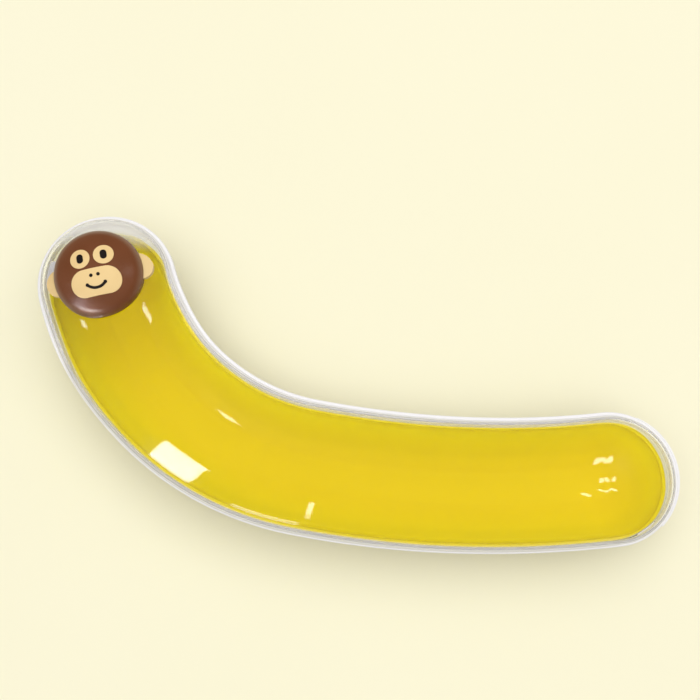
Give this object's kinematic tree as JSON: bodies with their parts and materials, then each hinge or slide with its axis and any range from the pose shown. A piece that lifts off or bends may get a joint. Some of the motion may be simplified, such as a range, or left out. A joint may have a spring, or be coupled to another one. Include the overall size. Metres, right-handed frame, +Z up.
{
  "type": "banana carrying case",
  "caption": "Curved clear banana case: a yellow inner tray in a clear base, and a clear domed lid that swings sideways about a pivot under a brown monkey's head.",
  "frame": {"origin": "where the lid's pivot axis meets the plane the case rests on", "axes": "+Z up along the pivot axis, +X from the head towards the tail's end, +Y towards the inside of the bend"},
  "size_m": [0.2406, 0.1271, 0.0534],
  "materials": {
    "clear_shell": "clear, polished",
    "yellow": "opaque, glossy",
    "brown": "opaque, satin",
    "cream": "opaque, satin",
    "dark": "opaque, satin",
    "nylon": "moulded",
    "steel": "turned",
    "brass": "turned"
  },
  "bodies": {
    "base": {"base_shell": "clear_shell", "inner_tray": "yellow", "threaded_insert": "brass", "friction_washer": "nylon", "pivot_screw": "steel", "spring_washer": "steel"},
    "lid": {"lid_shell": "clear_shell", "pivot_bush": "nylon", "head_cap": "brown", "ear_left": "cream", "ear_right": "cream", "eye_patch_left": "cream", "eye_patch_right": "cream", "muzzle": "cream", "eye_left": "dark", "eye_right": "dark", "nostrils": "dark", "mouth": "dark"}
  },
  "joints": [
    {"name": "lid_swing", "type": "hinge", "parent": "base", "child": "lid", "pos_m": [0, 0, 0.0286], "axis": [0, 0, -1], "range_deg": [0, 110]}
  ]
}
